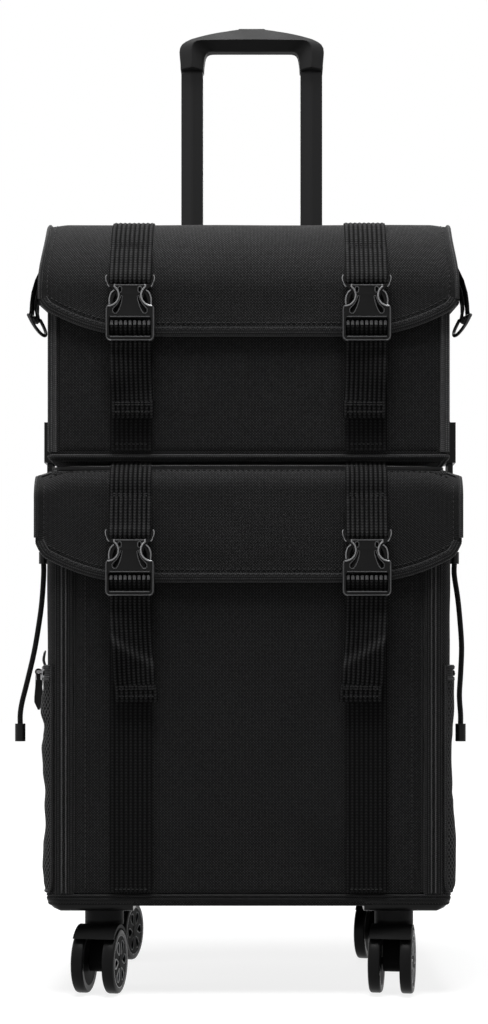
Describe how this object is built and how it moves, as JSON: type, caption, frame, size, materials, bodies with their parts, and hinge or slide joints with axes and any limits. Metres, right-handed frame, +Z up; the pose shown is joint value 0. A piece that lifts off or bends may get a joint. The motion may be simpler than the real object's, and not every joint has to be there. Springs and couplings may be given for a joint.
{
  "type": "rolling makeup case",
  "caption": "Soft-sided rolling makeup case: buckled upper bag on a taller zip-front case, with flap lids, telescopic handle, mesh side pockets and swivel casters.",
  "frame": {"origin": "on the floor under the middle of the case's outline", "axes": "+Z up, -Y out of the front with the buckles, +X to the right seen from the front"},
  "size_m": [0.3942, 0.2602, 0.8924],
  "materials": {
    "cloth": "woven nylon with a dull sheen",
    "mesh": "open knitted mesh",
    "webbing": "ribbed flat webbing",
    "trim": "sewn binding, piping and zip tape",
    "cord": "braided cord",
    "black_plastic": "moulded, half gloss",
    "caster_plastic": "moulded",
    "wheel_rubber": "smooth tread with moulded hub",
    "grip_plastic": "moulded, fine grain",
    "tube_metal": "dark anodised",
    "dark_steel": "blackened"
  },
  "bodies": {
    "lower_case": {"base_board": "cloth", "corner_guards": "black_plastic", "caster_sockets": "dark_steel", "base_welt": "trim", "back_panel": "cloth", "side_panels": "cloth", "front_borders": "cloth", "door_zips": "trim", "lid_top": "cloth", "lid_skirts": "cloth", "guide_tubes": "tube_metal", "handle_bezels": "black_plastic", "mesh_pockets": "mesh", "pocket_zips": "trim", "cord_ferrules": "black_plastic", "drawcord_left": "cord", "drawcord_right": "cord", "cord_end_left": "black_plastic", "cord_end_right": "black_plastic", "tie_plugs": "black_plastic"},
    "front_door": {"door_panel": "cloth", "door_straps": "webbing", "lower_sockets": "black_plastic", "lower_tails": "webbing"},
    "lower_flap": {"lower_flap_panel": "cloth", "lower_flap_straps": "webbing", "lower_plugs": "black_plastic"},
    "upper_bag": {"bag_base": "cloth", "bag_front": "cloth", "bag_back": "cloth", "bag_sides": "cloth", "bag_welt": "trim", "bag_straps": "webbing", "upper_sockets": "black_plastic", "upper_tails": "webbing", "tie_sockets": "black_plastic"},
    "ring_left": {"ring_left": "dark_steel"},
    "ring_right": {"ring_right": "dark_steel"},
    "upper_flap": {"upper_flap_panel": "cloth", "upper_flap_straps": "webbing", "upper_plugs": "black_plastic", "ring_tabs": "webbing"},
    "handle": {"handle_tubes": "tube_metal", "grip": "grip_plastic"},
    "button": {"release_button": "grip_plastic", "release_linkage": "dark_steel"},
    "slider_left": {"pocket_slider_left": "dark_steel"},
    "slider_right": {"pocket_slider_right": "dark_steel"},
    "pull_left": {"pocket_pull_left": "black_plastic"},
    "pull_right": {"pocket_pull_right": "black_plastic"},
    "caster_fl": {"caster_fork_fl": "caster_plastic"},
    "wheels_fl": {"wheels_fl": "wheel_rubber"},
    "caster_fr": {"caster_fork_fr": "caster_plastic"},
    "wheels_fr": {"wheels_fr": "wheel_rubber"},
    "caster_rl": {"caster_fork_rl": "caster_plastic"},
    "wheels_rl": {"wheels_rl": "wheel_rubber"},
    "caster_rr": {"caster_fork_rr": "caster_plastic"},
    "wheels_rr": {"wheels_rr": "wheel_rubber"}
  },
  "joints": [
    {"name": "bag_lift", "type": "slide", "parent": "lower_case", "child": "upper_bag", "axis": [0, 0, 1], "range_m": [0, 0.35]},
    {"name": "upper_flap_hinge", "type": "hinge", "parent": "upper_bag", "child": "upper_flap", "pos_m": [0, 0.0854, 0.6544], "axis": [-1, 0, 0], "range_deg": [0, 90]},
    {"name": "lower_flap_hinge", "type": "hinge", "parent": "lower_case", "child": "lower_flap", "pos_m": [0, -0.1176, 0.448], "axis": [-1, 0, 0], "range_deg": [0, 100]},
    {"name": "door_hinge", "type": "hinge", "parent": "lower_case", "child": "front_door", "pos_m": [0, -0.116, 0.086], "axis": [1, 0, 0], "range_deg": [0, 90]},
    {"name": "handle_slide", "type": "slide", "parent": "lower_case", "child": "handle", "axis": [0, 0, 1], "range_m": [-0.306, 0]},
    {"name": "button_press", "type": "slide", "parent": "handle", "child": "button", "axis": [0, 0, 1], "range_m": [-0.004, 0], "stiffness_N_per_m": 800, "springref_m": 0.006},
    {"name": "ring_left_swing", "type": "hinge", "parent": "upper_flap", "child": "ring_left", "pos_m": [-0.1886, -0.0493, 0.5824], "axis": [0.2756, 0.9613, 0], "range_deg": [0, 80]},
    {"name": "ring_right_swing", "type": "hinge", "parent": "upper_flap", "child": "ring_right", "pos_m": [0.1886, -0.0493, 0.5824], "axis": [0.2756, -0.9613, 0], "range_deg": [0, 80]},
    {"name": "slider_left_run", "type": "slide", "parent": "lower_case", "child": "slider_left", "axis": [0, 1, 0], "range_m": [0, 0.124]},
    {"name": "slider_right_run", "type": "slide", "parent": "lower_case", "child": "slider_right", "axis": [0, 1, 0], "range_m": [-0.124, 0]},
    {"name": "pull_left_swing", "type": "hinge", "parent": "slider_left", "child": "pull_left", "pos_m": [-0.1837, -0.058, 0.272], "axis": [0, 1, 0], "range_deg": [0, 80]},
    {"name": "pull_right_swing", "type": "hinge", "parent": "slider_right", "child": "pull_right", "pos_m": [0.1837, 0.066, 0.272], "axis": [0, -1, 0], "range_deg": [0, 80]},
    {"name": "caster_fl_swivel", "type": "hinge", "parent": "lower_case", "child": "caster_fl", "pos_m": [-0.124, -0.084, 0.06], "axis": [0, 0, 1], "continuous": true},
    {"name": "wheels_fl_spin", "type": "hinge", "parent": "caster_fl", "child": "wheels_fl", "pos_m": [-0.1265, -0.0998, 0.027], "axis": [-0.9877, 0.1564, 0], "continuous": true},
    {"name": "caster_fr_swivel", "type": "hinge", "parent": "lower_case", "child": "caster_fr", "pos_m": [0.124, -0.084, 0.06], "axis": [0, 0, 1], "continuous": true},
    {"name": "wheels_fr_spin", "type": "hinge", "parent": "caster_fr", "child": "wheels_fr", "pos_m": [0.1215, -0.0998, 0.027], "axis": [-0.9877, 0.1564, 0], "continuous": true},
    {"name": "caster_rl_swivel", "type": "hinge", "parent": "lower_case", "child": "caster_rl", "pos_m": [-0.124, 0.092, 0.06], "axis": [0, 0, 1], "continuous": true},
    {"name": "wheels_rl_spin", "type": "hinge", "parent": "caster_rl", "child": "wheels_rl", "pos_m": [-0.12787, 0.07648, 0.027], "axis": [-0.9703, 0.2419, 0], "continuous": true},
    {"name": "caster_rr_swivel", "type": "hinge", "parent": "lower_case", "child": "caster_rr", "pos_m": [0.124, 0.092, 0.06], "axis": [0, 0, 1], "continuous": true},
    {"name": "wheels_rr_spin", "type": "hinge", "parent": "caster_rr", "child": "wheels_rr", "pos_m": [0.12013, 0.07648, 0.027], "axis": [-0.9703, 0.2419, 0], "continuous": true}
  ]
}
